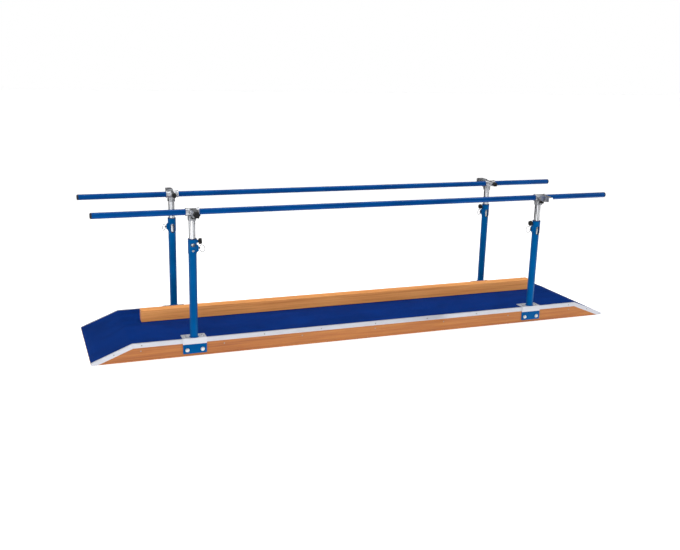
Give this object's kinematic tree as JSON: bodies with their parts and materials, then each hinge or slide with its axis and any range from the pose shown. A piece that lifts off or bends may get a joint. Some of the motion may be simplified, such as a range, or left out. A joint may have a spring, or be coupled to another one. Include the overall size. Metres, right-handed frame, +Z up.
{
  "type": "parallel walking bars",
  "caption": "Walking training bars: two long round handrails on height-adjustable posts over a low timber platform with end ramps, a mat and a foot divider beam.",
  "frame": {"origin": "on the floor at the centre of the platform's footprint, under the middle pad", "axes": "+X along the bars, +Y across them towards the back bar, +Z up"},
  "size_m": [4, 1.0694, 1.008],
  "materials": {
    "side_timber": "clear satin varnish, fine long grain",
    "panel_timber": "plain sanded plywood",
    "beam_timber": "clear satin varnish, fine long grain",
    "rubber_pad": "matte",
    "mat_cover": "short needle-felt pile",
    "trim_metal": "satin anodised, lengthwise grooves",
    "screw_steel": "bright zinc",
    "wood_screw_steel": "dull zinc",
    "socket_screw_steel": "bright zinc",
    "foot_angle_metal": "satin anodised, lengthwise grooves",
    "post_paint": "satin powder coat",
    "bar_paint": "gloss powder coat",
    "tube_chrome": "polished",
    "head_metal": "silver powder coat over a casting",
    "pin_steel": "bright",
    "bush_plastic": "satin",
    "plug_plastic": "satin",
    "knob_plastic": "fine texture",
    "cap_plastic": "satin"
  },
  "bodies": {
    "platform": {"side_beam_front": "side_timber", "side_beam_back": "side_timber", "deck_panels": "panel_timber", "ramp_panels": "panel_timber", "cross_battens": "panel_timber", "rubber_feet": "rubber_pad", "mat": "mat_cover", "edge_trim_front": "trim_metal", "edge_trim_back": "trim_metal", "middle_beam": "beam_timber", "countersunk_screws": "wood_screw_steel", "foot_plates": "post_paint", "foot_bolts": "screw_steel", "button_head_screws": "socket_screw_steel", "guide_bushes": "bush_plastic", "foot_angle_front_left": "foot_angle_metal", "foot_angle_front_right": "foot_angle_metal", "foot_angle_back_left": "foot_angle_metal", "foot_angle_back_right": "foot_angle_metal", "outer_post_front_left": "post_paint", "outer_post_front_right": "post_paint", "outer_post_back_left": "post_paint", "outer_post_back_right": "post_paint"},
    "upright_front_left": {"inner_tube_front_left": "tube_chrome", "post_head_front_left": "head_metal"},
    "upright_front_right": {"inner_tube_front_right": "tube_chrome", "post_head_front_right": "head_metal"},
    "upright_back_left": {"inner_tube_back_left": "tube_chrome", "post_head_back_left": "head_metal"},
    "upright_back_right": {"inner_tube_back_right": "tube_chrome", "post_head_back_right": "head_metal"},
    "rail_front": {"bar_front": "bar_paint", "bar_caps_front": "cap_plastic", "rail_clamp_front_left": "head_metal", "rail_clamp_front_right": "head_metal", "arm_plug_front": "plug_plastic"},
    "rail_back": {"bar_back": "bar_paint", "bar_caps_back": "cap_plastic", "rail_clamp_back_left": "head_metal", "rail_clamp_back_right": "head_metal", "arm_plugs_back": "plug_plastic"},
    "height_knob_front_left": {"height_knob_front_left": "knob_plastic"},
    "pull_pin_front_left": {"pull_pin_front_left": "pin_steel"},
    "pull_ring_front_left": {"pull_ring_front_left": "pin_steel"},
    "width_knob_front_left": {"width_knob_front_left": "knob_plastic"},
    "height_knob_front_right": {"height_knob_front_right": "knob_plastic"},
    "pull_pin_front_right": {"pull_pin_front_right": "pin_steel"},
    "pull_ring_front_right": {"pull_ring_front_right": "pin_steel"},
    "width_knob_front_right": {"width_knob_front_right": "knob_plastic"},
    "height_knob_back_left": {"height_knob_back_left": "knob_plastic"},
    "pull_pin_back_left": {"pull_pin_back_left": "pin_steel"},
    "pull_ring_back_left": {"pull_ring_back_left": "pin_steel"},
    "width_knob_back_left": {"width_knob_back_left": "knob_plastic"},
    "height_knob_back_right": {"height_knob_back_right": "knob_plastic"},
    "pull_pin_back_right": {"pull_pin_back_right": "pin_steel"},
    "pull_ring_back_right": {"pull_ring_back_right": "pin_steel"},
    "width_knob_back_right": {"width_knob_back_right": "knob_plastic"},
    "rail_knob_back_left": {"rail_knob_back_left": "knob_plastic"},
    "rail_knob_back_right": {"rail_knob_back_right": "knob_plastic"},
    "end_knob_front_left": {"end_knob_front_left": "knob_plastic"}
  },
  "joints": [
    {"name": "height_front_left", "type": "slide", "parent": "platform", "child": "upright_front_left", "axis": [0, 0, 1], "range_m": [-0.1, 0.25]},
    {"name": "height_front_right", "type": "slide", "parent": "platform", "child": "upright_front_right", "axis": [0, 0, 1], "range_m": [-0.1, 0.25]},
    {"name": "height_back_left", "type": "slide", "parent": "platform", "child": "upright_back_left", "axis": [0, 0, 1], "range_m": [-0.1, 0.25]},
    {"name": "height_back_right", "type": "slide", "parent": "platform", "child": "upright_back_right", "axis": [0, 0, 1], "range_m": [-0.1, 0.25]},
    {"name": "width_front", "type": "slide", "parent": "upright_front_left", "child": "rail_front", "axis": [0, 1, 0], "range_m": [0, 0.06]},
    {"name": "width_back", "type": "slide", "parent": "upright_back_left", "child": "rail_back", "axis": [0, -1, 0], "range_m": [-0.044, 0.016]},
    {"name": "height_knob_turn_front_left", "type": "hinge", "parent": "platform", "child": "height_knob_front_left", "pos_m": [-1.2866, -0.375, 0.784], "axis": [1, 0, 0], "range_deg": [0, 180]},
    {"name": "pin_front_left", "type": "slide", "parent": "platform", "child": "pull_pin_front_left", "axis": [-1, 0, 0], "range_m": [0, 0.005]},
    {"name": "ring_front_left", "type": "hinge", "parent": "pull_pin_front_left", "child": "pull_ring_front_left", "pos_m": [-1.2741, -0.375, 0.7385], "axis": [0, 0, -1], "range_deg": [-130, 20]},
    {"name": "width_knob_turn_front_left", "type": "hinge", "parent": "upright_front_left", "child": "width_knob_front_left", "pos_m": [-1.322, -0.428, 0.9652], "axis": [0, 0, -1], "range_deg": [0, 180]},
    {"name": "height_knob_turn_front_right", "type": "hinge", "parent": "platform", "child": "height_knob_front_right", "pos_m": [1.2866, -0.375, 0.784], "axis": [-1, 0, 0], "range_deg": [0, 180]},
    {"name": "pin_front_right", "type": "slide", "parent": "platform", "child": "pull_pin_front_right", "axis": [1, 0, 0], "range_m": [0, 0.005]},
    {"name": "ring_front_right", "type": "hinge", "parent": "pull_pin_front_right", "child": "pull_ring_front_right", "pos_m": [1.2741, -0.375, 0.7385], "axis": [0, 0, 1], "range_deg": [-87, 63]},
    {"name": "width_knob_turn_front_right", "type": "hinge", "parent": "upright_front_right", "child": "width_knob_front_right", "pos_m": [1.322, -0.428, 0.9652], "axis": [0, 0, -1], "range_deg": [0, 180]},
    {"name": "height_knob_turn_back_left", "type": "hinge", "parent": "platform", "child": "height_knob_back_left", "pos_m": [-1.322, 0.4104, 0.784], "axis": [0, 1, 0], "range_deg": [0, 180]},
    {"name": "pin_back_left", "type": "slide", "parent": "platform", "child": "pull_pin_back_left", "axis": [1, 0, 0], "range_m": [0, 0.005]},
    {"name": "ring_back_left", "type": "hinge", "parent": "pull_pin_back_left", "child": "pull_ring_back_left", "pos_m": [-1.3699, 0.375, 0.7385], "axis": [0, 0, 1], "range_deg": [-130, 20]},
    {"name": "width_knob_turn_back_left", "type": "hinge", "parent": "upright_back_left", "child": "width_knob_back_left", "pos_m": [-1.322, 0.428, 0.9652], "axis": [0, 0, -1], "range_deg": [0, 180]},
    {"name": "height_knob_turn_back_right", "type": "hinge", "parent": "platform", "child": "height_knob_back_right", "pos_m": [1.2866, 0.375, 0.784], "axis": [-1, 0, 0], "range_deg": [0, 180]},
    {"name": "pin_back_right", "type": "slide", "parent": "platform", "child": "pull_pin_back_right", "axis": [1, 0, 0], "range_m": [0, 0.005]},
    {"name": "ring_back_right", "type": "hinge", "parent": "pull_pin_back_right", "child": "pull_ring_back_right", "pos_m": [1.2741, 0.375, 0.7385], "axis": [0, 0, 1], "range_deg": [-107, 43]},
    {"name": "width_knob_turn_back_right", "type": "hinge", "parent": "upright_back_right", "child": "width_knob_back_right", "pos_m": [1.322, 0.428, 0.9652], "axis": [0, 0, -1], "range_deg": [0, 180]},
    {"name": "rail_knob_turn_back_left", "type": "hinge", "parent": "rail_back", "child": "rail_knob_back_left", "pos_m": [-1.322, 0.2666, 0.9865], "axis": [0, -1, 0], "range_deg": [0, 180]},
    {"name": "rail_knob_turn_back_right", "type": "hinge", "parent": "rail_back", "child": "rail_knob_back_right", "pos_m": [1.322, 0.2666, 0.9865], "axis": [0, -1, 0], "range_deg": [0, 180]},
    {"name": "end_knob_turn_front_left", "type": "hinge", "parent": "upright_front_left", "child": "end_knob_front_left", "pos_m": [-1.322, -0.5154, 0.9865], "axis": [0, -1, 0], "range_deg": [0, 180]}
  ],
  "couplings": [
    {"joint": "height_front_right", "follows": "height_front_left", "ratio": 1},
    {"joint": "height_back_right", "follows": "height_back_left", "ratio": 1}
  ]
}
